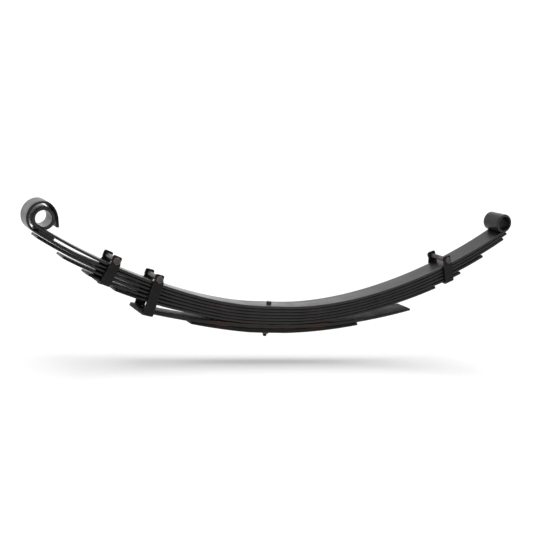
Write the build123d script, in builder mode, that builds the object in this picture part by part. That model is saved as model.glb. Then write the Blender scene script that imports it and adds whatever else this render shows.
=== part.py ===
from build123d import *
import math
import os

os.makedirs("parts", exist_ok=True)

# ---------------------------------------------------------------- driving dimensions, mm
leaf_width = 60.0
leaf_thick = 7.5
leaf_gap = 0.06  # paint film between neighbouring leaves
seat_half = 30.0  # half length of the flat axle seat

# Arch of the main leaf's top face: z = A u^2 + B u^3 + C u^4, u = (|x| - seat_half) / 500
front_arch = (198.06, -114.646, 45.475)
rear_arch = (187.651, -74.218, 25.99)

front_eye_x = -595.0  # where the main leaf turns into the front eye
rear_eye_x = 696.0
eye_bore_r = 18.0
eye_slit = 0.4  # gap where the rolled tip meets the leaf again

# tip positions of the plain leaves, measured along x on the main leaf's arch
leaf_2_rear = 693.0
leaf_3_tips = (-585.5, 680.0)
leaf_4_tips = (-522.5, 613.5)
leaf_5_tips = (-460.0, 542.5)
leaf_6_tips = (-394.0, 465.5)

front_thin = 1.7  # how much thinner the rolled leaves are near the front tips
# free gaps that open above each leaf towards its tips
front_open = {1: (0.0, 0.0), 2: (4.9, 1.2), 3: (4.0, 4.1), 4: (4.2, 8.1), 5: (3.6, 12.8), 6: (3.6, 16.3)}
rear_open = {1: (0.0, 0.0), 2: (0.8, 0.0), 3: (1.8, 0.0), 4: (3.0, 1.8), 5: (4.2, 3.2), 6: (5.0, 1.2)}

# helper leaves: flatter than the pack above them, and tapered
helper_thick = 11.3
helper_upper_tips = (-331.0, 385.0)
helper_upper_tip_thick = (9.3, 6.8)
helper_upper_drop = (22.0, 28.0)  # how far the tips stand off the pack
helper_lower_tips = (-202.0, 235.5)
helper_lower_tip_thick = (5.8, 8.0)
helper_grip = 60.0  # the helpers lie flat on the pack up to here

# second leaf's wrap round the front eye: (angle, inside radius) about the eye centre
wrap_thick = 5.8
wrap_path = ((226.0, 30.6), (208.0, 31.3), (185.0, 31.8), (160.0, 32.2), (134.0, 32.7), (110.0, 33.0),
             (90.0, 32.4), (70.0, 29.9), (48.0, 27.1), (27.0, 25.9), (8.0, 26.0), (-8.0, 27.5), (-21.0, 30.6), (-31.0, 34.4))

tip_spacer_x = (-591.0, -556.0)
tip_spacer_width = 56.0

# centre bolt and nut
bolt_r = 5.0
bolt_hole_r = 5.3
centre_head_r = 6.25
centre_head_h = 6.5
nut_flats = 16.0
nut_h = 8.0
nut_bore_r = 5.05
centre_tail = 6.5  # thread standing out of the nut

# clamps
side_gap = 0.8
strap_thick = 5.4
strap_inner_r = 1.0
seat_gap = 0.3
ear_hole_r = 5.25
clamp_head_h = 6.4
tube_r = 6.3
tube_bore_r = 5.25
tube_end_gap = 0.05
clamp_tail = 3.5
ear_corner_r = 4.0
rivet_r = 4.0
rivet_hole_r = 4.1
rivet_head_r = 7.0
rivet_head_h = 3.6
rivet_sink = 3.0
# each clamp: x on the arch, leaf it is riveted to, strap width, ear width, ear top, lean of the ears
# and where the foot of the strap stands along the leaf
front_outer = dict(x=-418.0, leaf=5, wide=24.0, ear=22.0, top=23.3, lean=-3.5, foot=-5.0)
front_inner = dict(x=-310.0, leaf=7, wide=25.5, ear=21.5, top=21.0, lean=-3.0, foot=-4.0)
rear_clamp = dict(x=508.0, leaf=5, wide=27.0, ear=22.5, top=26.5, lean=3.0, foot=-2.5)

half = leaf_width / 2


# ---------------------------------------------------------------- the arch and the depths below it
def smooth(v):
    v = min(max(v, 0.0), 1.0)
    return v * v * (3 - 2 * v)


def arch(x):
    a, b, c = front_arch if x < 0 else rear_arch
    u = max(abs(x) - seat_half, 0.0) / 500
    slope = (2 * a * u + 3 * b * u * u + 4 * c * u**3) / 500
    return a * u * u + b * u**3 + c * u**4, slope if x > 0 else -slope


def below(x, depth):
    z, m = arch(x)
    h = math.hypot(1, m)
    return (x + depth * m / h, z - depth / h)


def rolled_thickness(x):
    return leaf_thick - front_thin * smooth((-x - 230) / 270)


def leaf_top(k, x):
    if k <= 6:
        if x < 0:
            a, b = front_open[k]
            extra = a * smooth((-x - 380) / 130) + b * smooth((-x - 190) / 280)
        else:
            a, b = rear_open[k]
            extra = a * smooth((x - 250) / 250) + b * smooth((x - 430) / 120)
        return (k - 1) * (rolled_thickness(x) + leaf_gap) + extra
    side = 0 if x < 0 else 1
    span = abs(helper_upper_tips[side]) - helper_grip
    off = helper_upper_drop[side] * (max(abs(x) - helper_grip, 0.0) / span) ** 1.5
    depth = 6 * (leaf_thick + leaf_gap) + off
    return depth if k == 7 else depth + leaf_thickness(7, x) + leaf_gap


def leaf_thickness(k, x):
    if k == 1:  # full thickness again at the front eye
        return leaf_thick - (leaf_thick - rolled_thickness(x)) * (1 - smooth((-x - 548) / 44))
    if k <= 6:
        return rolled_thickness(x)
    side = 0 if x < 0 else 1
    tips, thick = ((helper_upper_tips, helper_upper_tip_thick), (helper_lower_tips, helper_lower_tip_thick))[k - 7]
    share = max(abs(x) - helper_grip, 0.0) / (abs(tips[side]) - helper_grip)
    return helper_thick + (thick[side] - helper_thick) * share


def leaf_bottom(k, x):
    return leaf_top(k, x) + leaf_thickness(k, x)


def stations(x0, x1, step=24.0):
    n = max(2, math.ceil(abs(x1 - x0) / step))
    return [x0 + (x1 - x0) * i / n for i in range(n + 1)]


def unit(a, b):
    d = (b[0] - a[0], b[1] - a[1])
    r = math.hypot(*d)
    return (d[0] / r, d[1] / r)


def tangent(at, depth, x):
    s = 0.2
    return unit(below(x - s, depth(x - s)), below(x + s, depth(x + s)))


def long_edge(depth, x0, x1):
    """One long edge of a leaf's side view, flat over the seat and curved on either side of it."""
    left = [below(x, depth(x)) for x in stations(x0, -seat_half)]
    right = [below(x, depth(x)) for x in stations(seat_half, x1)]
    Spline(*left, tangents=(tangent(left, depth, x0), (1, 0)))
    Line(left[-1], right[0])
    Spline(*right, tangents=((1, 0), tangent(right, depth, x1)))
    return left[0], right[-1]


def eye_centre(x):
    return below(x, -eye_bore_r)


def clamp_axis(clamp):
    """Direction of the riveted leaf's underside at the clamp: the strap's floor is parallel to it."""
    k, x = clamp["leaf"], clamp["x"] + clamp["foot"] * 0.9
    return unit(below(x - 4, leaf_bottom(k, x - 4)), below(x + 4, leaf_bottom(k, x + 4)))


def frame_at(clamp):
    t = clamp_axis(clamp)
    return Plane(origin=(clamp["x"], 0, arch(clamp["x"])[0]), x_dir=(t[0], 0, t[1]), z_dir=(-t[1], 0, t[0]))


def local(clamp, point):
    t = clamp_axis(clamp)
    dx, dz = point[0] - clamp["x"], point[1] - arch(clamp["x"])[0]
    return (dx * t[0] + dz * t[1], dz * t[0] - dx * t[1])


def rivet_x(clamp):
    """x on the arch such that the riveted leaf's own underside point lies on the rivet's centre line."""
    x = clamp["x"]
    for _ in range(8):
        x -= local(clamp, below(x, leaf_bottom(clamp["leaf"], x)))[0] - clamp["foot"]
    return x


def rivet_levels(clamp):
    k, x = clamp["leaf"], rivet_x(clamp)
    top = max(local(clamp, below(x + d, leaf_top(k, x + d)))[1] for d in range(-8, 9, 2)) if k > 6 else min(
        local(clamp, below(x + d, leaf_top(k, x + d)))[1] for d in range(-8, 9, 2))
    bottom = local(clamp, below(x, leaf_bottom(k, x)))[1]
    return top, bottom


def seat_level(clamp):
    """Height of the strap's floor: just under the lowest point of the riveted leaf within the strap."""
    low = 0.0
    for i in range(81):
        x = clamp["x"] + clamp["foot"] + (i - 40) / 40 * (clamp["wide"] / 2 + 14)
        p = local(clamp, below(x, leaf_bottom(clamp["leaf"], x)))
        if abs(p[0] - clamp["foot"]) <= clamp["wide"] / 2 + 1:
            low = min(low, p[1])
    return low - seat_gap


def eye_cut(x, inward):
    """Corner points of the block that clears the rolled tip off the leaf's top face."""
    top = below(x, 0)
    z, m = arch(x)
    h = math.hypot(1, m)
    t = (inward / h, inward * m / h)
    n = (-m / h, 1 / h)
    return [(top[0] + t[0] * a + n[0] * b, top[1] + t[1] * a + n[1] * b)
            for a, b in ((0, -20), (45, -20), (45, eye_slit), (0, eye_slit))]


# ---------------------------------------------------------------- main leaf with both eyes
front_c, rear_c = eye_centre(front_eye_x), eye_centre(rear_eye_x)
with BuildPart() as leaf_1_main:
    with BuildSketch(Plane.XZ) as side_1:
        with Locations(front_c, rear_c):
            Circle(eye_bore_r + leaf_thick)
        with Locations(front_c, rear_c):
            Circle(eye_bore_r, mode=Mode.SUBTRACT)
        with BuildLine():
            Polyline(*eye_cut(front_eye_x, 1), close=True)
        make_face(mode=Mode.SUBTRACT)
        with BuildLine():
            Polyline(*eye_cut(rear_eye_x, -1), close=True)
        make_face(mode=Mode.SUBTRACT)
        with BuildLine():
            a, b = long_edge(lambda x: 0.0, front_eye_x, rear_eye_x)
            c, d = long_edge(lambda x: leaf_bottom(1, x), front_eye_x, rear_eye_x)
            Line(a, c)
            Line(b, d)
        make_face()
    extrude(amount=half, both=True)
    with BuildSketch(Plane.XY):
        Circle(bolt_hole_r)
    extrude(amount=60, both=True, mode=Mode.SUBTRACT)


# ---------------------------------------------------------------- second leaf with its wrap
def wrap_points():
    cx, cz = front_c
    at = stations(-seat_half, front_eye_x)
    inner = [below(x, leaf_top(2, x)) for x in at]
    inner += [(cx + r * math.cos(math.radians(a)), cz + r * math.sin(math.radians(a))) for a, r in wrap_path]
    outer = []
    for i, p in enumerate(inner):
        q0, q1 = inner[max(i - 1, 0)], inner[min(i + 1, len(inner) - 1)]
        t = (-1.0, 0.0) if i == 0 else unit(q0, q1)
        w = rolled_thickness(at[i]) if i < len(at) else wrap_thick
        outer.append((p[0] - t[1] * w, p[1] + t[0] * w))
    return inner, outer


inner_2, outer_2 = wrap_points()
rear_top_2 = [below(x, leaf_top(2, x)) for x in stations(seat_half, leaf_2_rear)]
rear_low_2 = [below(x, leaf_bottom(2, x)) for x in stations(seat_half, leaf_2_rear)]
with BuildPart() as leaf_2_wrap:
    with BuildSketch(Plane.XZ):
        with BuildLine():
            Spline(*inner_2, tangents=((-1, 0), unit(inner_2[-2], inner_2[-1])))
            Spline(*outer_2, tangents=((-1, 0), unit(outer_2[-2], outer_2[-1])))
            Line(inner_2[-1], outer_2[-1])
            Line(inner_2[0], rear_top_2[0])
            Line(outer_2[0], rear_low_2[0])
            Spline(*rear_top_2, tangents=((1, 0), tangent(0, lambda x: leaf_top(2, x), leaf_2_rear)))
            Spline(*rear_low_2, tangents=((1, 0), tangent(0, lambda x: leaf_bottom(2, x), leaf_2_rear)))
            Line(rear_top_2[-1], rear_low_2[-1])
        make_face()
    extrude(amount=half, both=True)
    with BuildSketch(Plane.XY):
        Circle(bolt_hole_r)
    extrude(amount=60, both=True, mode=Mode.SUBTRACT)


# ---------------------------------------------------------------- plain leaves
def plain_leaf(k, tips, rivet_clamp=None):
    with BuildPart() as leaf:
        with BuildSketch(Plane.XZ):
            with BuildLine():
                a, b = long_edge(lambda x: leaf_top(k, x), *tips)
                c, d = long_edge(lambda x: leaf_bottom(k, x), *tips)
                Line(a, c)
                Line(b, d)
            make_face()
        extrude(amount=half, both=True)
        with BuildSketch(Plane.XY):
            Circle(bolt_hole_r)
        extrude(amount=120, both=True, mode=Mode.SUBTRACT)
        for clamp in rivet_clamp or []:
            top, bottom = rivet_levels(clamp)
            place = frame_at(clamp)
            with BuildSketch(place.offset(bottom - 8)):
                with Locations((clamp["foot"], 0)):
                    Circle(rivet_hole_r)
            extrude(amount=top - bottom + 16, mode=Mode.SUBTRACT)
            if k <= 6:
                with BuildSketch(place.offset(top - rivet_sink - 0.4)):
                    with Locations((clamp["foot"], 0)):
                        Circle(rivet_head_r + 0.35)
                extrude(amount=rivet_sink + 6, mode=Mode.SUBTRACT)
    return leaf.part


leaf_3 = plain_leaf(3, leaf_3_tips)
leaf_4 = plain_leaf(4, leaf_4_tips)
leaf_5 = plain_leaf(5, leaf_5_tips, [front_outer, rear_clamp])
leaf_6 = plain_leaf(6, leaf_6_tips)
helper_leaf_upper = plain_leaf(7, helper_upper_tips, [front_inner])
helper_leaf_lower = plain_leaf(8, helper_lower_tips)

# ---------------------------------------------------------------- spacer behind the front eye
with BuildPart() as tip_spacer:
    with BuildSketch(Plane.XZ):
        with BuildLine():
            top = [below(x, leaf_bottom(1, x) + 0.15) for x in stations(*tip_spacer_x, step=12.0)]
            low = [below(x, leaf_top(2, x) - 0.3) for x in stations(*tip_spacer_x, step=12.0)]
            Polyline(*top)
            Polyline(*low)
            Line(top[0], low[0])
            Line(top[-1], low[-1])
        make_face()
    extrude(amount=tip_spacer_width / 2, both=True)

# ---------------------------------------------------------------- centre bolt and nut
pack_low = leaf_bottom(8, 0)
with BuildPart() as centre_bolt:
    with BuildSketch(Plane.XY):
        Circle(centre_head_r)
    extrude(amount=centre_head_h)
    chamfer(centre_bolt.edges().filter_by(GeomType.CIRCLE).sort_by(Axis.Z)[-1], 0.5)
    with BuildSketch(Plane.XY):
        Circle(bolt_r)
    extrude(amount=-(pack_low + nut_h + centre_tail))
    chamfer(centre_bolt.edges().filter_by(GeomType.CIRCLE).sort_by(Axis.Z)[0], 0.8)

with BuildPart() as centre_nut:
    with BuildSketch(Plane.XY.offset(-pack_low - 0.02)):
        RegularPolygon(nut_flats / 2, 6, major_radius=False)
        Circle(nut_bore_r, mode=Mode.SUBTRACT)
    extrude(amount=-nut_h)


# ---------------------------------------------------------------- rebound clamps
def strap(clamp):
    floor = seat_level(clamp)
    inside, outside = half + side_gap, half + side_gap + strap_thick
    low, top = floor - strap_thick, clamp["top"]
    w, e, lean, foot = clamp["wide"] / 2, clamp["ear"] / 2, clamp["lean"], clamp["foot"]
    bolt_z = top - clamp["ear"] / 2
    shoulder = 1.5
    mid = lean * 0.5
    with BuildPart() as body:
        with BuildSketch(Plane.YZ):
            with Locations((0, (low + top) / 2)):
                Rectangle(2 * outside, top - low)
            with Locations((0, (floor + top + 10) / 2)):
                Rectangle(2 * inside, top + 10 - floor, mode=Mode.SUBTRACT)
        extrude(amount=40, both=True)
        long_edges = body.edges().filter_by(Axis.X)
        outer = long_edges.filter_by(lambda g: g.center().Z < low + 0.01)
        inner = long_edges.filter_by(lambda g: abs(g.center().Z - floor) < 0.01)
        fillet(outer, strap_thick + strap_inner_r)
        fillet(inner, strap_inner_r)
        with BuildSketch(Plane.XZ) as outline:
            with BuildLine():
                Polyline((-w + foot, low - 1), (w + foot, low - 1), (w + foot, floor), (w + mid, shoulder), (e + mid + 0.3, shoulder + 5),
                         (e + lean, bolt_z), (e + lean, top), (-e + lean, top), (-e + lean, bolt_z),
                         (-e + mid - 0.3, shoulder + 5), (-w + mid, shoulder), (-w + foot, floor), close=True)
            make_face()
            fillet(outline.vertices().filter_by(lambda v: v.Z > top - 0.01), ear_corner_r)
        extrude(amount=60, both=True, mode=Mode.INTERSECT)
        with BuildSketch(Plane.XZ):
            with Locations((lean, bolt_z)):
                Circle(ear_hole_r)
        extrude(amount=60, both=True, mode=Mode.SUBTRACT)
        with BuildSketch(Plane.XY.offset(floor + 5)):
            with Locations((foot, 0)):
                Circle(rivet_hole_r)
        extrude(amount=-(strap_thick + 10), mode=Mode.SUBTRACT)
    return frame_at(clamp).location * body.part


def rivet(clamp):
    top, bottom = rivet_levels(clamp)
    low = seat_level(clamp) - strap_thick
    sunk = clamp["leaf"] <= 6
    with BuildPart() as body:
        with BuildSketch(Plane.XY.offset(low - 0.05)):
            Circle(rivet_head_r)
        extrude(amount=-rivet_head_h)
        fillet(body.edges().filter_by(GeomType.CIRCLE).sort_by(Axis.Z)[0], rivet_head_h - 0.8)
        with BuildSketch(Plane.XY.offset(low - 1.0)):
            Circle(rivet_r)
        extrude(amount=top - low + 0.5)
        with BuildSketch(Plane.XY.offset(top - rivet_sink if sunk else top + 0.25)):
            Circle(rivet_head_r)
        extrude(amount=rivet_sink - 0.5 if sunk else rivet_head_h)
        if not sunk:
            with BuildSketch(Plane.XY.offset(top - 1.0)):
                Circle(rivet_r)
            extrude(amount=2.0)
            fillet(body.edges().filter_by(GeomType.CIRCLE).sort_by(Axis.Z)[-1], rivet_head_h - 0.8)
    return frame_at(clamp).location * Location((clamp["foot"], 0, 0)) * body.part


def clamp_bolt(clamp):
    bolt_z, out = clamp["top"] - clamp["ear"] / 2, half + side_gap + strap_thick
    with BuildPart() as body:
        with BuildSketch(Plane.XZ.offset(out + 0.02)):
            with Locations((clamp["lean"], bolt_z)):
                RegularPolygon(nut_flats / 2, 6, major_radius=False)
        extrude(amount=clamp_head_h)
        with BuildSketch(Plane.XZ.offset(out + 0.02)):
            with Locations((clamp["lean"], bolt_z)):
                Circle(bolt_r)
        extrude(amount=-(2 * out + nut_h + clamp_tail))
        chamfer(body.edges().filter_by(GeomType.CIRCLE).sort_by(Axis.Y)[-1], 0.7)
    return frame_at(clamp).location * body.part


def clamp_nut(clamp):
    bolt_z, out = clamp["top"] - clamp["ear"] / 2, half + side_gap + strap_thick
    with BuildPart() as body:
        with BuildSketch(Plane.XZ.offset(-out - 0.02)):
            with Locations((clamp["lean"], bolt_z)):
                RegularPolygon(nut_flats / 2, 6, major_radius=False)
                Circle(nut_bore_r, mode=Mode.SUBTRACT)
        extrude(amount=-nut_h)
    return frame_at(clamp).location * body.part


def clamp_tube(clamp):
    bolt_z, inside = clamp["top"] - clamp["ear"] / 2, half + side_gap
    with BuildPart() as body:
        with BuildSketch(Plane.XZ):
            with Locations((clamp["lean"], bolt_z)):
                Circle(tube_r)
                Circle(tube_bore_r, mode=Mode.SUBTRACT)
        extrude(amount=inside - tube_end_gap, both=True)
    return frame_at(clamp).location * body.part


pieces = {
    "leaf_1_main": leaf_1_main.part,
    "leaf_2_wrap": leaf_2_wrap.part,
    "leaf_3": leaf_3,
    "leaf_4": leaf_4,
    "leaf_5": leaf_5,
    "leaf_6": leaf_6,
    "helper_leaf_upper": helper_leaf_upper,
    "helper_leaf_lower": helper_leaf_lower,
    "tip_spacer": tip_spacer.part,
    "centre_bolt": centre_bolt.part,
    "centre_nut": centre_nut.part,
}
for name, clamp in (("front_outer", front_outer), ("front_inner", front_inner), ("rear", rear_clamp)):
    pieces[name + "_clamp_strap"] = strap(clamp)
    pieces[name + "_clamp_rivet"] = rivet(clamp)
    pieces[name + "_clamp_bolt"] = clamp_bolt(clamp)
    pieces[name + "_clamp_nut"] = clamp_nut(clamp)
    pieces[name + "_clamp_tube"] = clamp_tube(clamp)

for name, piece in pieces.items():
    piece.label = name
    export_step(piece, f"parts/{name}.step")
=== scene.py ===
import math

import bpy
import numpy as np
from mathutils import Matrix, Vector


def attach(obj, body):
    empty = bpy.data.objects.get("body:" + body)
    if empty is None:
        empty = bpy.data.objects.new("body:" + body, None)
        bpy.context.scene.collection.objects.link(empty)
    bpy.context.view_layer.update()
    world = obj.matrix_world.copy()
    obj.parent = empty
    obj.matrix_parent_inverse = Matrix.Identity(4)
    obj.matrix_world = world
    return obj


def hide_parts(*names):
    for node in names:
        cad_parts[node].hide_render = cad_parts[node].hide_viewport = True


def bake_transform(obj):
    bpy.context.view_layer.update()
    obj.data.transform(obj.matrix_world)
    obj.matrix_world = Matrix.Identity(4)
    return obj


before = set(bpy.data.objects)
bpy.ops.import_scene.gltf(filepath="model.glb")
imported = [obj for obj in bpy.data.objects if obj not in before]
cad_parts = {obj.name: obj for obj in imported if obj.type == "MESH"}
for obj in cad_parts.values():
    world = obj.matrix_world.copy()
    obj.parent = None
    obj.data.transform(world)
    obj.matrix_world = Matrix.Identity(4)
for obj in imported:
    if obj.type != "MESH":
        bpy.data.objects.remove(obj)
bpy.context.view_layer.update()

MM = 0.001

# ------------------------------------------------------------------ camera
cam_data = bpy.data.cameras.new("camera")
cam = bpy.data.objects.new("camera", cam_data)
bpy.context.scene.collection.objects.link(cam)
cam_data.lens = 62.047
cam_data.sensor_width = 36.0
cam_data.clip_start = 0.02
cam_data.clip_end = 200.0
right = Vector((0.8841358, -0.4480181, 0.1326033))
up = Vector((-0.0460435, 0.1988809, 0.9789415))
back = Vector((-0.4649558, -0.8716227, 0.1552094))
cam.matrix_world = Matrix((
    (right.x, up.x, back.x, -1.0740705),
    (right.y, up.y, back.y, -1.9750265),
    (right.z, up.z, back.z, 0.4454048),
    (0, 0, 0, 1)))
bpy.context.scene.camera = cam

# ------------------------------------------------------------------ the part's own dimensions, mm
leaf_thick, leaf_gap, seat_half = 7.5, 0.06, 30.0
front_arch = (198.06, -114.646, 45.475)
rear_arch = (187.651, -74.218, 25.99)
front_eye_x, rear_eye_x, eye_bore_r = -595.0, 696.0, 18.0
eye_slit = 0.4
leaf_tips = {3: (-585.5, 680.0), 4: (-522.5, 613.5), 5: (-460.0, 542.5), 6: (-394.0, 465.5)}
leaf_2_rear = 693.0
front_open = {1: (0.0, 0.0), 2: (4.9, 1.2), 3: (4.0, 4.1), 4: (4.2, 8.1), 5: (3.6, 12.8), 6: (3.6, 16.3)}
front_thin = 1.7
rear_open = {1: (0.0, 0.0), 2: (0.8, 0.0), 3: (1.8, 0.0), 4: (3.0, 1.8), 5: (4.2, 3.2), 6: (5.0, 1.2)}
helper_thick, helper_grip = 11.3, 60.0
helper_tips = {7: (-331.0, 385.0), 8: (-202.0, 235.5)}
helper_tip_thick = {7: (9.3, 6.8), 8: (5.8, 8.0)}
helper_drop = (22.0, 28.0)
wrap_thick = 5.8
wrap_path = ((226.0, 30.6), (208.0, 31.3), (185.0, 31.8), (160.0, 32.2), (134.0, 32.7), (110.0, 33.0),
             (90.0, 32.4), (70.0, 29.9), (48.0, 27.1), (27.0, 25.9), (8.0, 26.0), (-8.0, 27.5), (-21.0, 30.6), (-31.0, 34.4))
half = 30.0
side_gap, strap_thick, seat_gap = 0.8, 5.4, 0.3
tube_r, tube_bore_r = 6.3, 5.25
bolt_r, nut_h, head_h = 5.0, 8.0, 6.4
ear_corner_r = 4.0
clamps = {
    "front_outer": dict(x=-418.0, leaf=5, wide=24.0, ear=22.0, top=23.3, lean=-3.5, foot=-5.0),
    "front_inner": dict(x=-310.0, leaf=7, wide=25.5, ear=21.5, top=21.0, lean=-3.0, foot=-4.0),
    "rear": dict(x=508.0, leaf=5, wide=27.0, ear=22.5, top=26.5, lean=3.0, foot=-2.5),
}


def smooth(v):
    v = min(max(v, 0.0), 1.0)
    return v * v * (3 - 2 * v)


def arch(x):
    a, b, c = front_arch if x < 0 else rear_arch
    u = max(abs(x) - seat_half, 0.0) / 500
    slope = (2 * a * u + 3 * b * u * u + 4 * c * u ** 3) / 500
    return a * u * u + b * u ** 3 + c * u ** 4, slope if x > 0 else -slope


def below(x, depth):
    z, m = arch(x)
    h = math.hypot(1, m)
    return (x + depth * m / h, z - depth / h)


def rolled_thickness(x):
    return leaf_thick - front_thin * smooth((-x - 230) / 270)


def leaf_thickness(k, x):
    if k == 1:
        return leaf_thick - (leaf_thick - rolled_thickness(x)) * (1 - smooth((-x - 548) / 44))
    if k <= 6:
        return rolled_thickness(x)
    side = 0 if x < 0 else 1
    share = max(abs(x) - helper_grip, 0.0) / (abs(helper_tips[k][side]) - helper_grip)
    return helper_thick + (helper_tip_thick[k][side] - helper_thick) * share


def leaf_top(k, x):
    if k <= 6:
        if x < 0:
            a, b = front_open[k]
            extra = a * smooth((-x - 380) / 130) + b * smooth((-x - 190) / 280)
        else:
            a, b = rear_open[k]
            extra = a * smooth((x - 250) / 250) + b * smooth((x - 430) / 120)
        return (k - 1) * (rolled_thickness(x) + leaf_gap) + extra
    side = 0 if x < 0 else 1
    span = abs(helper_tips[7][side]) - helper_grip
    off = helper_drop[side] * (max(abs(x) - helper_grip, 0.0) / span) ** 1.5
    depth = 6 * (leaf_thick + leaf_gap) + off
    return depth if k == 7 else depth + leaf_thickness(7, x) + leaf_gap


def leaf_bottom(k, x):
    return leaf_top(k, x) + leaf_thickness(k, x)


def unit(a, b):
    d = (b[0] - a[0], b[1] - a[1])
    r = math.hypot(*d)
    return (d[0] / r, d[1] / r)


# ------------------------------------------------------------------ mesh making
def section(hw, t, r, n=5, flats=(-0.5, 0.0, 0.5)):
    """Points (u, v, edge) of a flat bar's section with rounded corners, v = 0 below and t on top."""
    r = min(r, 0.46 * t, 0.46 * hw)
    pad = min(0.9, (hw - r) * 0.4)
    out = []
    corners = ((hw - r, r, -90), (hw - r, t - r, 0), (-hw + r, t - r, 90), (-hw + r, r, 180))
    out += [(-hw + r + pad, 0, 0.0)] + [(f * (hw - r), 0, 0.0) for f in flats] + [(hw - r - pad, 0, 0.0)]
    for i, (cu, cv, a0) in enumerate(corners):
        for j in range(n + 1):
            a = math.radians(a0 + 90 * j / n)
            out.append((cu + r * math.cos(a), cv + r * math.sin(a), math.sin(math.pi * j / n)))
        if i == 0:
            out.append((hw, t / 2, 0.0))
        elif i == 1:
            out += [(hw - r - pad, t, 0.0)] + [(-f * (hw - r), t, 0.0) for f in flats] + [(-hw + r + pad, t, 0.0)]
        elif i == 2:
            out.append((-hw, t / 2, 0.0))
    return out


def make_piece(name, verts, faces, edge, flow, material):
    mesh = bpy.data.meshes.new(name)
    mesh.from_pydata([(x * MM, y * MM, z * MM) for x, y, z in verts], [], faces)
    mesh.validate()
    mesh.attributes.new("edge", "FLOAT", "POINT").data.foreach_set("value", np.array(edge, np.float32))
    mesh.attributes.new("flow", "FLOAT_VECTOR", "POINT").data.foreach_set(
        "vector", (np.array(flow, np.float32) * MM).ravel())
    mesh.materials.append(material)
    mesh.shade_smooth()
    mesh.set_sharp_from_angle(angle=math.radians(38))
    obj = bpy.data.objects.new(name, mesh)
    bpy.context.scene.collection.objects.link(obj)
    return obj


def strip(name, rings, material, radius=2.3, place=None, flats=(-0.5, 0.0, 0.5)):
    """A bar swept through rings of (top point, bottom point, width direction, half width, inset, start of s)."""
    verts, edge, flow = [], [], []
    s, last, count = 0.0, None, 0
    for top, bottom, across, hw, inset in rings:
        top, bottom, across = Vector(top), Vector(bottom), Vector(across)
        mid = (top + bottom) / 2
        if last is not None:
            s += (mid - last).length
        last = mid
        rise = top - bottom
        t = rise.length - 2 * inset
        rise.normalize()
        pts = section(hw - inset, t, max(radius - inset, 0.25), flats=flats)
        count = len(pts)
        for u, v, e in pts:
            verts.append(bottom + rise * (v + inset) + across * u)
            edge.append(max(e, min(inset, 1.0)))
            flow.append((s, u, v))
    faces = []
    n = len(rings)
    for i in range(n - 1):
        for j in range(count):
            a, b = i * count + j, i * count + (j + 1) % count
            faces.append((a, b, b + count, a + count))
    faces.append(tuple(range(count))[::-1])
    faces.append(tuple(range((n - 1) * count, n * count)))
    # make every face look outwards
    p = [np.array(v) for v in verts]
    centre = (np.mean(p[:count], axis=0))
    a, b, c = p[faces[0][0]], p[faces[0][1]], p[faces[0][2]]
    if np.dot(np.cross(b - a, c - a), (a + b) / 2 - centre) < 0:
        faces = [f[::-1] for f in faces]
    if place:
        verts = [place(v) for v in verts]
    return make_piece(name, [tuple(v) for v in verts], faces, edge, flow, material)


def lathe(name, profile, material, place, steps=36, closed=False, hollow=False):
    """Rings (height, radius limit, hex flats or None, edge) turned round local Z, then placed."""
    verts, edge, flow = [], [], []
    for z, limit, flats, e in profile:
        for j in range(steps):
            a = 2 * math.pi * j / steps
            r, ee = limit, e
            if flats:
                fold = (a + math.pi / 6) % (math.pi / 3) - math.pi / 6
                flat_r = flats / 2 / math.cos(fold)
                r = min(limit, flat_r)
                if flat_r <= limit:
                    ee = max(ee, smooth((abs(fold) / (math.pi / 6) - 0.80) / 0.2))
            verts.append((r * math.cos(a), r * math.sin(a), z))
            edge.append(ee)
            flow.append((r * math.cos(a), r * math.sin(a), z))
    faces = []
    n = len(profile)
    for i in range(n if closed else n - 1):
        for j in range(steps):
            a, b = i * steps + j, i * steps + (j + 1) % steps
            c = (i + 1) % n * steps
            faces.append((a, b, c + (j + 1) % steps, c + j))
    if not closed:
        faces.append(tuple(range(steps))[::-1])
        faces.append(tuple(range((n - 1) * steps, n * steps)))
    verts = [tuple(place(Vector(v))) for v in verts]
    obj = make_piece(name, verts, faces, edge, flow, material)
    return obj


def outward(obj):
    """Turns every face of a closed mesh outwards."""
    import bmesh
    bm = bmesh.new()
    bm.from_mesh(obj.data)
    bmesh.ops.recalc_face_normals(bm, faces=bm.faces)
    bm.to_mesh(obj.data)
    bm.free()
    obj.data.shade_smooth()
    obj.data.set_sharp_from_angle(angle=math.radians(38))
    return obj


# ------------------------------------------------------------------ materials
def new_material(name):
    mat = bpy.data.materials.new(name)
    mat.use_nodes = True
    nodes, links = mat.node_tree.nodes, mat.node_tree.links
    nodes.clear()
    out = nodes.new("ShaderNodeOutputMaterial")
    shader = nodes.new("ShaderNodeBsdfPrincipled")
    links.new(shader.outputs[0], out.inputs["Surface"])
    return mat, nodes, links, shader


def attribute(nodes, name):
    node = nodes.new("ShaderNodeAttribute")
    node.attribute_name = name
    return node


def noise(nodes, links, vector, scale, detail=4.0, rough=0.55, stretch=None):
    if stretch:
        mapping = nodes.new("ShaderNodeMapping")
        mapping.inputs["Scale"].default_value = stretch
        links.new(vector, mapping.inputs["Vector"])
        vector = mapping.outputs[0]
    node = nodes.new("ShaderNodeTexNoise")
    node.inputs["Scale"].default_value = scale
    node.inputs["Detail"].default_value = detail
    node.inputs["Roughness"].default_value = rough
    links.new(vector, node.inputs["Vector"])
    return node.outputs["Fac"]


def ramp(nodes, links, value, low, high, a=0.0, b=1.0):
    node = nodes.new("ShaderNodeMapRange")
    node.interpolation_type = "SMOOTHSTEP"
    node.inputs["From Min"].default_value = low
    node.inputs["From Max"].default_value = high
    node.inputs["To Min"].default_value = a
    node.inputs["To Max"].default_value = b
    links.new(value, node.inputs["Value"])
    return node.outputs["Result"]


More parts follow.
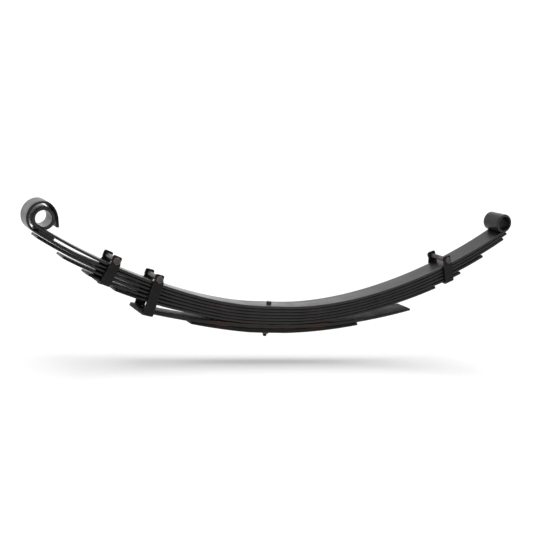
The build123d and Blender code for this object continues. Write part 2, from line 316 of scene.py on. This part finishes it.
def math_node(nodes, links, kind, a, b):
    node = nodes.new("ShaderNodeMath")
    node.operation = kind
    for i, v in enumerate((a, b)):
        if isinstance(v, (int, float)):
            node.inputs[i].default_value = v
        else:
            links.new(v, node.inputs[i])
    return node.outputs[0]


def mix_colour(nodes, links, factor, a, b):
    node = nodes.new("ShaderNodeMix")
    node.data_type = "RGBA"
    links.new(factor, node.inputs[0])
    for i, v in ((6, a), (7, b)):
        if isinstance(v, tuple):
            node.inputs[i].default_value = (*v, 1.0)
        else:
            links.new(v, node.inputs[i])
    return node.outputs[2]


def painted(name, base, light, rust_share=0.3, rust=(0.060, 0.026, 0.016), rough=(0.34, 0.5), level=0.3, edge_wear_and_sheen=0.5, peel=0.5, metal=0.0, mottle=0.0, with_painted_light_and_shade=False):
    """Satin black paint over rolled steel: cloudy tone, long roll marks, orange peel, brown or bare edges that also
    carry a painted edge highlight, and, when asked, painted light and shade scaled from a mesh attribute.
    """
    mat, nodes, links, shader = new_material(name)
    flow = attribute(nodes, "flow").outputs["Vector"]
    edge = attribute(nodes, "edge").outputs["Fac"]
    cloud = noise(nodes, links, flow, 26.0, 5.0, 0.6)
    streak = noise(nodes, links, flow, 60.0, 5.0, 0.65, (0.06, 1.0, 1.0))
    speck = noise(nodes, links, flow, 900.0, 2.0, 0.5)
    tone = ramp(nodes, links, cloud, 0.3, 0.7)
    colour = mix_colour(nodes, links, tone, base, light)
    roll = ramp(nodes, links, streak, 0.52, 0.75, 0.0, 0.55)
    colour = mix_colour(nodes, links, roll, colour, tuple(min(1.0, c * 1.9 + 0.003) for c in light))
    dust = ramp(nodes, links, speck, 0.66, 0.8, 0.0, 0.5)
    colour = mix_colour(nodes, links, dust, colour, tuple(c * 2.2 + 0.004 for c in light))
    if mottle:
        grain = noise(nodes, links, flow, 330.0, 4.0, 0.75)
        colour = mix_colour(nodes, links, ramp(nodes, links, grain, 0.50, 0.66, 0.0, mottle), colour, tuple(c * 4.5 + 0.010 for c in light))
    # worn edges with a painted edge highlight: first a paler rub, which is both worn paint and a painted highlight
    # along the corners, then patches of brown
    edge_rub_and_sheen_noise = noise(nodes, links, flow, 120.0, 6.0, 0.7, (0.25, 1.0, 1.0))
    edge_rub_and_sheen = math_node(nodes, links, "MULTIPLY", edge, ramp(nodes, links, edge_rub_and_sheen_noise, 0.45, 0.72, 0.0, edge_wear_and_sheen))
    colour = mix_colour(nodes, links, edge_rub_and_sheen, colour, tuple(min(1.0, c * 3.2 + 0.012) for c in light))
    rust_noise = noise(nodes, links, flow, 34.0, 6.0, 0.75, (0.3, 1.0, 1.0))
    patch = ramp(nodes, links, rust_noise, 0.66 - 0.22 * rust_share, 0.80 - 0.16 * rust_share)
    near_edge = ramp(nodes, links, edge, 0.15, 0.8)
    rusty = math_node(nodes, links, "MULTIPLY", patch, near_edge)
    colour = mix_colour(nodes, links, rusty, colour, rust)
    # painted light and shade: the colour is scaled by the mesh attribute, darker in bores, under the wrap and at tips,
    # lighter on side faces
    if with_painted_light_and_shade:
        painted_light_and_shade = attribute(nodes, "painted_light_and_shade").outputs["Fac"]
        scaled = nodes.new("ShaderNodeVectorMath")
        scaled.operation = "SCALE"
        links.new(colour, scaled.inputs[0])
        links.new(painted_light_and_shade, scaled.inputs["Scale"])
        colour = scaled.outputs[0]
    links.new(colour, shader.inputs["Base Color"])
    r = ramp(nodes, links, cloud, 0.25, 0.75, rough[0], rough[1])
    r = math_node(nodes, links, "ADD", r, ramp(nodes, links, streak, 0.3, 0.8, -0.05, 0.07))
    r = math_node(nodes, links, "ADD", r, math_node(nodes, links, "MULTIPLY", rusty, 0.3))
    links.new(r, shader.inputs["Roughness"])
    shader.inputs["Specular IOR Level"].default_value = level
    # the same painted light and shade scales the reflection level
    if with_painted_light_and_shade:
        links.new(math_node(nodes, links, "MULTIPLY", painted_light_and_shade, level), shader.inputs["Specular IOR Level"])
    shader.inputs["Metallic"].default_value = metal
    peel_noise = noise(nodes, links, flow, 420.0, 3.0, 0.5)
    height = math_node(nodes, links, "ADD", math_node(nodes, links, "MULTIPLY", peel_noise, 0.5),
                       math_node(nodes, links, "MULTIPLY", streak, 0.35))
    height = math_node(nodes, links, "ADD", height, math_node(nodes, links, "MULTIPLY", rusty, 0.3))
    if mottle:
        height = math_node(nodes, links, "ADD", height, math_node(nodes, links, "MULTIPLY", grain, 2.5))
    bump = nodes.new("ShaderNodeBump")
    bump.inputs["Strength"].default_value = peel
    bump.inputs["Distance"].default_value = 0.00018
    links.new(height, bump.inputs["Height"])
    links.new(bump.outputs[0], shader.inputs["Normal"])
    return mat


def rubber(name):
    mat, nodes, links, shader = new_material(name)
    flow = attribute(nodes, "flow").outputs["Vector"]
    grain = noise(nodes, links, flow, 700.0, 4.0, 0.6)
    blotch = noise(nodes, links, flow, 90.0, 4.0, 0.6)
    colour = mix_colour(nodes, links, ramp(nodes, links, grain, 0.35, 0.7), (0.006, 0.006, 0.006), (0.028, 0.027, 0.026))
    colour = mix_colour(nodes, links, ramp(nodes, links, blotch, 0.5, 0.75, 0.0, 0.6), colour, (0.045, 0.042, 0.038))
    links.new(colour, shader.inputs["Base Color"])
    links.new(ramp(nodes, links, grain, 0.3, 0.7, 0.62, 0.85), shader.inputs["Roughness"])
    shader.inputs["Specular IOR Level"].default_value = 0.35
    bump = nodes.new("ShaderNodeBump")
    bump.inputs["Strength"].default_value = 0.8
    bump.inputs["Distance"].default_value = 0.0004
    links.new(grain, bump.inputs["Height"])
    links.new(bump.outputs[0], shader.inputs["Normal"])
    return mat


leaf_mats = {
    k: painted(f"leaf_black_{k}", (0.0045, 0.0045, 0.0048), (0.0092, 0.0090, 0.0089), rust_share=share, rough=rough, level=level, with_painted_light_and_shade=True)
    for k, share, rough, level in (
        (1, 0.1, (0.27, 0.38), 0.30), (2, 0.45, (0.28, 0.40), 0.26), (3, 0.6, (0.28, 0.40), 0.26), (4, 0.15, (0.28, 0.40), 0.26),
        (5, 0.1, (0.28, 0.40), 0.26), (6, 0.2, (0.28, 0.40), 0.26), (7, 0.75, (0.40, 0.56), 0.10), (8, 0.7, (0.34, 0.50), 0.18))
}
clamp_mat = painted("clamp_black", (0.0022, 0.0022, 0.0023), (0.0050, 0.0049, 0.0048), rust_share=0.4, rough=(0.38, 0.56), edge_wear_and_sheen=0.6, level=0.16, mottle=0.6)
hardware_mat = painted("bolt_black", (0.014, 0.011, 0.0105), (0.042, 0.032, 0.030), rust_share=1.0, rust=(0.20, 0.125, 0.105), rough=(0.28, 0.45), edge_wear_and_sheen=1.0, level=0.6, metal=0.3, mottle=0.5)
tube_mat = painted("tube_steel", (0.020, 0.018, 0.017), (0.075, 0.068, 0.062), rust_share=0.8, rust=(0.11, 0.065, 0.045), rough=(0.32, 0.5), edge_wear_and_sheen=0.9, level=0.4, metal=0.4)
liner_mat = rubber("liner_black")


# ------------------------------------------------------------------ leaves
ACROSS = (0.0, 1.0, 0.0)


def ring(k, x, hw=half, inset=0.0):
    a, b = below(x, leaf_top(k, x)), below(x, leaf_bottom(k, x))
    return ((a[0], 0, a[1]), (b[0], 0, b[1]), ACROSS, hw, inset)


def leaf_stations(x0, x1, step=9.0):
    n = max(2, math.ceil(abs(x1 - x0) / step))
    return [x0 + (x1 - x0) * i / n for i in range(n + 1)]


END_R = 1.3


def plain_half(k, tip):
    """Rings of one half of a plain leaf from the seat's middle to its square-cut tip, with the end eased."""
    s = 1 if tip > 0 else -1
    rings = [ring(k, x) for x in leaf_stations(0.0, tip - s * 4.0)]
    rings.append(ring(k, tip - s * 2.0))
    rings.append(ring(k, tip - s * END_R))
    for a in (65, 40, 18, 0):
        a = math.radians(a)
        q, inset = END_R * (1 - math.cos(a)), END_R * (1 - math.sin(a))
        rings.append(ring(k, tip - s * q, half, inset * 0.8))
    return rings


def eye_rings(x, outward_sign):
    """Rings that carry the main leaf round its eye, from the bottom outwards and over the top."""
    top = below(x, 0)
    z, m = arch(x)
    h = math.hypot(1, m)
    n = (-m / h, 1 / h)
    o = (outward_sign / h, outward_sign * m / h)
    c = (top[0] + n[0] * eye_bore_r, top[1] + n[1] * eye_bore_r)
    rings = []
    for deg in list(range(6, 313, 6)) + [316, 320, 324, 328, 332, 336, 338, 339.5]:
        f = math.radians(deg)
        d = (-n[0] * math.cos(f) + o[0] * math.sin(f), -n[1] * math.cos(f) + o[1] * math.sin(f))
        outer = eye_bore_r + leaf_thick
        if deg > 270:
            outer = min(outer, (eye_bore_r - eye_slit) / math.cos(f))
        inner_p = (c[0] + d[0] * eye_bore_r, c[1] + d[1] * eye_bore_r)
        outer_p = (c[0] + d[0] * outer, c[1] + d[1] * outer)
        rings.append(((inner_p[0], 0, inner_p[1]), (outer_p[0], 0, outer_p[1]), ACROSS, half, 0.0))
    return rings


def cubic(points, t0, t1):
    """A clamped cubic spline through points, by chord length: returns f(i + share) at span i."""
    p = np.array(points, float)
    u = np.concatenate([[0], np.cumsum(np.linalg.norm(np.diff(p, axis=0), axis=1))])
    n = len(p)
    a = np.zeros((n, n))
    r = np.zeros((n, 2))
    a[0, 0] = a[-1, -1] = 1
    r[0], r[-1] = t0, t1
    for i in range(1, n - 1):
        h0, h1 = u[i] - u[i - 1], u[i + 1] - u[i]
        a[i, i - 1], a[i, i], a[i, i + 1] = h1, 2 * (h0 + h1), h0
        r[i] = 3 * (h1 * (p[i] - p[i - 1]) / h0 + h0 * (p[i + 1] - p[i]) / h1)
    m = np.linalg.solve(a, r)

    def at(v):
        i = min(int(v), n - 2)
        h, s = u[i + 1] - u[i], v - i
        return ((2 * s ** 3 - 3 * s ** 2 + 1) * p[i] + (s ** 3 - 2 * s ** 2 + s) * h * m[i]
                + (-2 * s ** 3 + 3 * s ** 2) * p[i + 1] + (s ** 3 - s ** 2) * h * m[i + 1])
    return at


def wrap_rings():
    z, m = arch(front_eye_x)
    cx, cz = below(front_eye_x, -eye_bore_r)
    span = front_eye_x + seat_half
    count = max(2, math.ceil(abs(span) / 24.0))
    inner = [below(x, leaf_top(2, x)) for x in (-seat_half + span * i / count for i in range(count + 1))]
    inner += [(cx + r * math.cos(math.radians(a)), cz + r * math.sin(math.radians(a))) for a, r in wrap_path]
    outer = []
    for i, p in enumerate(inner):
        q0, q1 = inner[max(i - 1, 0)], inner[min(i + 1, len(inner) - 1)]
        t = (-1.0, 0.0) if i == 0 else unit(q0, q1)
        turn = len(inner) - len(wrap_path)
        w = rolled_thickness(-seat_half + span * i / count) if i < turn else wrap_thick
        outer.append((p[0] - t[1] * w, p[1] + t[0] * w))
    fi = cubic(inner, (-1, 0), unit(inner[-2], inner[-1]))
    fo = cubic(outer, (-1, 0), unit(outer[-2], outer[-1]))
    last = len(inner) - 1
    rings = [ring(2, x) for x in (0.0, -10.0, -20.0, -29.0)]
    steps = [i / 4 for i in range(0, 4 * last - 1)]
    end = last - 0.25
    steps += [end, last - 0.12, last - 0.075]
    for v in steps:
        a, b = fi(v), fo(v)
        rings.append(((a[0], 0, a[1]), (b[0], 0, b[1]), ACROSS, half, 0.0))
    for share, inset in ((0.045, 0.15), (0.02, 0.5), (0.0, 1.0)):
        a, b = fi(last - share), fo(last - share)
        rings.append(((a[0], 0, a[1]), (b[0], 0, b[1]), ACROSS, half, inset))
    return rings


front_eye, rear_eye = below(front_eye_x, -eye_bore_r), below(rear_eye_x, -eye_bore_r)


def paint_light_and_shade(obj, k, side):
    """Painted light and shade as a factor on the paint's colour and reflection at each point: painted shade in the
    bores, under the wrap and at the front tips, and side faces lighter or darker than the tops.
    """
    values = []
    tip = min(v.co.x for v in obj.data.vertices)
    for v in obj.data.vertices:
        x, y, z = (c / MM for c in v.co)
        # painted light and shade: side faces get their own factor, lighter on most leaves and the upper helper, darker
        # on the lower helper; the upper helper's top is darkened
        at_side = smooth((abs(y) - 27.5) / 2.2)
        value = {7: 0.8, 8: 0.95}.get(k, 1.0) * (1 - at_side) + {7: 1.9, 8: 0.8}.get(k, 1.22) * at_side
        # painted shade inside the rear eye's bore
        if k == 1 and side > 0 and math.hypot(x - rear_eye[0], z - rear_eye[1]) < 19.5:
            value = 0.35
        # painted shade on the wrap's inner face round the front eye
        if k == 2 and side < 0:
            gap = math.hypot(x - front_eye[0], z - front_eye[1])
            if x < front_eye[0] + 40 and gap < 33 and z > 150:
                value = 0.35
        # painted shade on the front tips of leaves 3 to 6, darkest at the tip
        if 3 <= k <= 6 and side < 0:
            value *= 0.45 + 0.55 * smooth((x - tip / MM - 35) / 45)
        values.append(value)
    obj.data.attributes.new("painted_light_and_shade", "FLOAT", "POINT").data.foreach_set("value", np.array(values, np.float32))


def leaf_piece(name, node, rings, k, side):
    obj = strip(name, rings, leaf_mats[k], radius=3.2 if k <= 6 else 3.6)
    paint_light_and_shade(obj, k, side)
    if k <= 6:
        if side < 0:
            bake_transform(obj)
        else:
            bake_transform(obj)
    elif side < 0:
        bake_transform(obj)
    else:
        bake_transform(obj)
    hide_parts(node)
    return obj


front_1 = [ring(1, x) for x in leaf_stations(0.0, front_eye_x)] + eye_rings(front_eye_x, -1)
rear_1 = [ring(1, x) for x in leaf_stations(0.0, rear_eye_x)] + eye_rings(rear_eye_x, 1)
leaf_piece("main_leaf_front", "leaf_1_main", front_1, 1, -1)
leaf_piece("main_leaf_rear", "leaf_1_main", rear_1, 1, 1)
leaf_piece("wrapped_leaf_front", "leaf_2_wrap", wrap_rings(), 2, -1)
leaf_piece("wrapped_leaf_rear", "leaf_2_wrap", plain_half(2, leaf_2_rear), 2, 1)
for k in (3, 4, 5, 6):
    for side, tip in zip((-1, 1), leaf_tips[k]):
        leaf_piece(f"leaf_{k}_{'front' if side < 0 else 'rear'}", f"leaf_{k}", plain_half(k, tip), k, side)
for k, word in ((7, "upper"), (8, "lower")):
    for side, tip in zip((-1, 1), helper_tips[k]):
        leaf_piece(f"helper_{word}_{'front' if side < 0 else 'rear'}", f"helper_leaf_{word}",
                   plain_half(k, tip), k, side)

spacer_rings = []
for x, inset in ((-591.0, 0.8), (-590.7, 0.3), (-590.0, 0.0), (-582.0, 0.0), (-574.0, 0.0), (-566.0, 0.0), (-557.0, 0.0), (-556.3, 0.3), (-556.0, 0.8)):
    a, b = below(x, leaf_bottom(1, x) + 0.15), below(x, leaf_top(2, x) - 0.3)
    spacer_rings.append(((a[0], 0, a[1]), (b[0], 0, b[1]), ACROSS, 28.0, inset * 0.5))
spacer = strip("tip_spacer_pad", spacer_rings, liner_mat, radius=0.6)
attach(spacer, "front_outer_clamp")
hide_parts("tip_spacer")

# ------------------------------------------------------------------ fasteners
FLATS = 16.0
HEX_R = FLATS / 2 / math.cos(math.pi / 6)


def hex_end(z0, z1, deep=1.15):
    """Rings of a hex from z0, its chamfered end, to z1, its plain end."""
    s = 1 if z1 > z0 else -1
    out = [(z0, FLATS / 2 * 0.72, None, 0.2), (z0, FLATS / 2 * 0.9, None, 0.5)]
    for i in range(6):
        f = i / 5
        out.append((z0 + s * deep * f, FLATS / 2 * 0.95 + (HEX_R + 0.05 - FLATS / 2 * 0.95) * f, FLATS, 0.6 * (1 - f)))
    out += [(z0 + s * (deep + 0.5), HEX_R + 1, FLATS, 0.0), (z1 - s * 0.4, HEX_R + 1, FLATS, 0.0), (z1, HEX_R + 1, FLATS, 0.3)]
    return out


def thread(z0, z1, r, pitch=1.25, depth=0.5, chamfer=0.9):
    """Rings of an outside thread from z0 to its free end z1."""
    s = 1 if z1 > z0 else -1
    length = abs(z1 - z0)
    n = max(4, int(length / pitch * 4))
    out = []
    for i in range(n + 1):
        q = length * i / n
        groove = depth * (0.5 - 0.5 * math.cos(2 * math.pi * q / pitch))
        radius = r - groove * smooth(q / pitch)
        left = length - q
        if left < chamfer:
            radius = min(radius, r - (chamfer - left) * 0.9)
        out.append((z0 + s * q, radius, None, 0.35))
    out.append((z1, r * 0.45, None, 0.1))
    return out


def upright(v):
    return v


pack_low = leaf_bottom(8, 0)
rings = [(6.5, 1.2, None, 0.2), (6.5, 4.2, None, 0.2), (6.5, 5.6, None, 0.5), (6.3, 6.0, None, 1.0), (5.9, 6.25, None, 0.6), (5.2, 6.25, None, 0.1),
         (0.6, 6.25, None, 0.1), (0.0, 6.25, None, 0.4), (0.0, bolt_r, None, 0.0)] + thread(-pack_low - nut_h + 0.1, -pack_low - nut_h - 6.5, bolt_r)
bolt = outward(lathe("centre_bolt_head_and_shank", rings, hardware_mat, upright, steps=48))
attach(bolt, "centre_pack")
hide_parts("centre_bolt")


def nut_rings(z0, z1, bore=5.05):
    """A nut from z0, its chamfered outer end, to z1, its seat, closed round its bore."""
    outside = hex_end(z0, z1)[2:]
    s = 1 if z1 > z0 else -1
    return outside + [(z1, bore + 0.4, None, 0.1), (z1 - s * 0.4, bore, None, 0.0), (z0 + s * 0.6, bore, None, 0.0), (z0, bore + 0.6, None, 0.4)]


nut = outward(lathe("centre_nut_hex", nut_rings(-pack_low - 0.02 - nut_h, -pack_low - 0.02), hardware_mat, upright, steps=48, closed=True))
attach(nut, "centre_pack")
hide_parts("centre_nut")


# ------------------------------------------------------------------ rebound clamps
def clamp_axis(clamp):
    k, x = clamp["leaf"], clamp["x"] + clamp["foot"] * 0.9
    return unit(below(x - 4, leaf_bottom(k, x - 4)), below(x + 4, leaf_bottom(k, x + 4)))


def local(clamp, point):
    t = clamp_axis(clamp)
    dx, dz = point[0] - clamp["x"], point[1] - arch(clamp["x"])[0]
    return (dx * t[0] + dz * t[1], dz * t[0] - dx * t[1])


def placer(clamp):
    t = clamp_axis(clamp)
    ox, oz = clamp["x"], arch(clamp["x"])[0]
    return lambda v: Vector((ox + v[0] * t[0] - v[2] * t[1], v[1], oz + v[0] * t[1] + v[2] * t[0]))


def rivet_x(clamp):
    x = clamp["x"]
    for _ in range(8):
        x -= local(clamp, below(x, leaf_bottom(clamp["leaf"], x)))[0] - clamp["foot"]
    return x


def rivet_top(clamp):
    k, x = clamp["leaf"], rivet_x(clamp)
    tops = [local(clamp, below(x + d, leaf_top(k, x + d)))[1] for d in range(-8, 9, 2)]
    return max(tops) if k > 6 else min(tops)


def seat_level(clamp):
    low = 0.0
    for i in range(81):
        x = clamp["x"] + clamp["foot"] + (i - 40) / 40 * (clamp["wide"] / 2 + 14)
        p = local(clamp, below(x, leaf_bottom(clamp["leaf"], x)))
        if abs(p[0] - clamp["foot"]) <= clamp["wide"] / 2 + 1:
            low = min(low, p[1])
    return low - seat_gap


def strap_rings(clamp):
    floor = seat_level(clamp)
    inside = half + side_gap
    w, e, lean, foot, top = clamp["wide"] / 2, clamp["ear"] / 2, clamp["lean"], clamp["foot"], clamp["top"]
    bolt_z, mid, shoulder = top - e, lean * 0.5, 1.5
    round_r = ear_corner_r

    def outline(z):
        if z <= floor:
            return foot, w
        if z <= shoulder:
            f = (z - floor) / (shoulder - floor)
            return foot + (mid - foot) * f, w
        if z <= shoulder + 5:
            f = smooth((z - shoulder) / 5)
            return mid, w + (e + 0.3 - w) * f
        if z <= bolt_z:
            f = (z - shoulder - 5) / max(bolt_z - shoulder - 5, 0.1)
            return mid + (lean - mid) * f, e + 0.3 * (1 - f)
        if z <= top - round_r:
            return lean, e
        up = min(z - (top - round_r), round_r)
        return lean, e - round_r + math.sqrt(max(round_r ** 2 - up ** 2, 0.0))

    sides = []  # ((outer y, z), (inner y, z), inset), from one ear's top to the middle of the base
    for q, inset in ((0.0, 0.9), (0.12, 0.45), (0.4, 0.12), (0.9, 0.0), (1.6, 0.0), (2.6, 0.0), (3.8, 0.0), (5.2, 0.0), (6.8, 0.0), (8.6, 0.0)):
        z = top - q
        sides.append(((inside + strap_thick, z), (inside, z), inset))
    zs = [bolt_z - 0.5, (bolt_z + shoulder + 5) / 2, shoulder + 5, shoulder + 3.7, shoulder + 2.5, shoulder + 1.3, shoulder]
    zs = [z for z in zs if z < top - 9.2]
    zs += list(np.linspace(shoulder - 4, floor + 1.5, 7))
    sides += [((inside + strap_thick, z), (inside, z), 0.0) for z in zs]
    cy, cz = inside - 1.0, floor + 1.0
    for i in range(8):
        a = math.radians(-90 * i / 7)
        sides.append(((cy + (strap_thick + 1) * math.cos(a), cz + (strap_thick + 1) * math.sin(a)), (cy + math.cos(a), cz + math.sin(a)), 0.0))
    base = [((y, floor - strap_thick), (y, floor), 0.0) for y in np.linspace(inside - 3.5, 0, 5)]
    path = sides + base
    path += [((-o[0], o[1]), (-i[0], i[1]), inset) for o, i, inset in (sides + base[:-1])[::-1]]
    rings = []
    for o, i, inset in path:
        c, hw = outline(min(o[1], i[1]) if abs(o[1] - i[1]) > 1e-6 else o[1])
        if o[1] < floor + 1.0:
            c, hw = foot, w
        rings.append(((c, o[0], o[1]), (c, i[0], i[1]), (1.0, 0.0, 0.0), hw, inset))
    return rings


def along_y(place, x, z):
    """Local Z of a turned piece becomes the clamp's Y, through (x, z)."""
    return lambda v: place((x + v[0], v[2], z + v[1]))


for name, clamp in clamps.items():
    body = {"front_outer": "front_outer_clamp", "front_inner": "front_inner_clamp", "rear": "rear_clamp"}[name]
    place = placer(clamp)
    floor = seat_level(clamp)
    out, inside = half + side_gap + strap_thick, half + side_gap
    lean, bolt_z = clamp["lean"], clamp["top"] - clamp["ear"] / 2

    made = outward(strip(f"{name}_strap", strap_rings(clamp), clamp_mat, radius=1.1, place=place, flats=(-0.6, -0.2, 0.2, 0.6)))
    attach(made, body)
    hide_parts(f"{name}_clamp_strap")

    axis = along_y(place, lean, bolt_z)
    head = hex_end(-(out + 0.02 + head_h), -(out + 0.02))
    rings = head + [(-(out + 0.02), bolt_r, None, 0.0)] + thread(out + nut_h - 0.1, out + nut_h + 3.5, bolt_r)
    made = outward(lathe(f"{name}_bolt", rings, hardware_mat, axis, steps=48))
    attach(made, body)
    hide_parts(f"{name}_clamp_bolt")

    made = outward(lathe(f"{name}_nut", nut_rings(out + 0.02 + nut_h, out + 0.02), hardware_mat, axis, steps=48, closed=True))
    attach(made, body)
    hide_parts(f"{name}_clamp_nut")

    end = inside - 0.05
    rings = []
    for s in (-1, 1):
        part = [(s * (end - 0.0), tube_bore_r + 0.25, None, 0.3), (s * end, tube_r - 0.3, None, 0.6), (s * (end - 0.3), tube_r, None, 0.6), (s * (end - 1.2), tube_r, None, 0.1)]
        rings += part if s < 0 else part[::-1]
    rings = rings[:4] + [(z, tube_r, None, 0.0) for z in np.linspace(-end + 4, end - 4, 9)] + rings[4:]
    rings += [(end - 0.4, tube_bore_r, None, 0.0), (0.0, tube_bore_r, None, 0.0), (-end + 0.4, tube_bore_r, None, 0.0)]
    made = outward(lathe(f"{name}_tube", rings, tube_mat, axis, steps=40, closed=True))
    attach(made, body)
    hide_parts(f"{name}_clamp_tube")

    low = floor - strap_thick - 0.05
    top = rivet_top(clamp)
    sunk = clamp["leaf"] <= 6
    rings = []
    for a in (88, 75, 60, 45, 30, 15, 0):
        a = math.radians(a)
        rings.append((low - 0.5 - 3.1 * math.sin(a), 7.0 * math.cos(a), None, 0.3))
    rings += [(low - 0.1, 7.0, None, 0.5), (low, 6.8, None, 0.0), (low, 4.0, None, 0.0)]
    if sunk:
        rings += [(top - 3.0, 4.0, None, 0.0), (top - 3.0, 6.8, None, 0.0), (top - 0.6, 6.8, None, 0.3), (top - 0.5, 6.4, None, 0.3), (top - 0.5, 2.0, None, 0.0)]
    else:
        rings += [(top + 0.25, 4.0, None, 0.0), (top + 0.25, 6.8, None, 0.0), (top + 0.4, 7.0, None, 0.5)]
        for a in (0, 15, 30, 45, 60, 75, 88):
            a = math.radians(a)
            rings.append((top + 0.75 + 3.1 * math.sin(a), 7.0 * math.cos(a), None, 0.3))
    foot = clamp["foot"]
    made = outward(lathe(f"{name}_rivet", rings, hardware_mat if not sunk else clamp_mat, lambda v, p=place, f=foot: p((v[0] + f, v[1], v[2])), steps=40))
    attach(made, body)
    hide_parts(f"{name}_clamp_rivet")

# ------------------------------------------------------------------ floor, light and world
FLOOR_Z = -0.147
count = 96
floor_verts = [(0.0, 0.0, FLOOR_Z)]
rings_r = [0.4, 0.8, 1.5, 3.0, 6.0, 12.0, 30.0]
for r in rings_r:
    floor_verts += [(r * math.cos(2 * math.pi * i / count), r * math.sin(2 * math.pi * i / count), FLOOR_Z) for i in range(count)]
floor_faces = [(0, 1 + i, 1 + (i + 1) % count) for i in range(count)]
for k in range(len(rings_r) - 1):
    a, b = 1 + k * count, 1 + (k + 1) * count
    floor_faces += [(a + i, b + i, b + (i + 1) % count, a + (i + 1) % count) for i in range(count)]
floor_mesh = bpy.data.meshes.new("studio_floor")
floor_mesh.from_pydata(floor_verts, [], floor_faces)
floor_obj = bpy.data.objects.new("studio_floor", floor_mesh)
bpy.context.scene.collection.objects.link(floor_obj)
mat, nodes, links, shader = new_material("studio_white")
coords = nodes.new("ShaderNodeTexCoord")
haze = noise(nodes, links, coords.outputs["Object"], 3.0, 2.0, 0.5)
links.new(mix_colour(nodes, links, haze, (0.755, 0.755, 0.755), (0.765, 0.765, 0.765)), shader.inputs["Base Color"])
shader.inputs["Roughness"].default_value = 1.0
shader.inputs["Specular IOR Level"].default_value = 0.0
floor_mesh.materials.append(mat)

sun_data = bpy.data.lights.new("overhead_softbox", "SUN")
sun_data.energy = 2.3
sun_data.angle = math.radians(50)
sun = bpy.data.objects.new("overhead_softbox", sun_data)
sun.rotation_euler = (math.radians(-8), 0, 0)
bpy.context.scene.collection.objects.link(sun)

world = bpy.data.worlds.new("studio")
bpy.context.scene.world = world
world.use_nodes = True
nodes, links = world.node_tree.nodes, world.node_tree.links
nodes.clear()
out = nodes.new("ShaderNodeOutputWorld")
seen = nodes.new("ShaderNodeBackground")
seen.inputs["Color"].default_value = (1, 1, 1, 1)
seen.inputs["Strength"].default_value = 1.05
around = nodes.new("ShaderNodeBackground")
around.inputs["Color"].default_value = (1, 1, 1, 1)
coords = nodes.new("ShaderNodeTexCoord")
parts = nodes.new("ShaderNodeSeparateXYZ")
links.new(coords.outputs["Generated"], parts.inputs[0])
behind = ramp(nodes, links, parts.outputs["Y"], -0.2, 0.95, 0.0, 1.0)
low = ramp(nodes, links, parts.outputs["Z"], 0.15, 0.95, 1.05, 0.30)
front_fill = ramp(nodes, links, parts.outputs["Z"], -0.2, 0.9, 0.50, 0.64)
glow = math_node(nodes, links, "MULTIPLY", behind, low)
links.new(math_node(nodes, links, "ADD", front_fill, glow), around.inputs["Strength"])
path = nodes.new("ShaderNodeLightPath")
mix = nodes.new("ShaderNodeMixShader")
links.new(path.outputs["Is Camera Ray"], mix.inputs[0])
links.new(around.outputs[0], mix.inputs[1])
links.new(seen.outputs[0], mix.inputs[2])
links.new(mix.outputs[0], out.inputs["Surface"])

view = bpy.context.scene.view_settings
view.view_transform = "Standard"
view.look = "None"
view.exposure = 0.0
view.gamma = 1.0
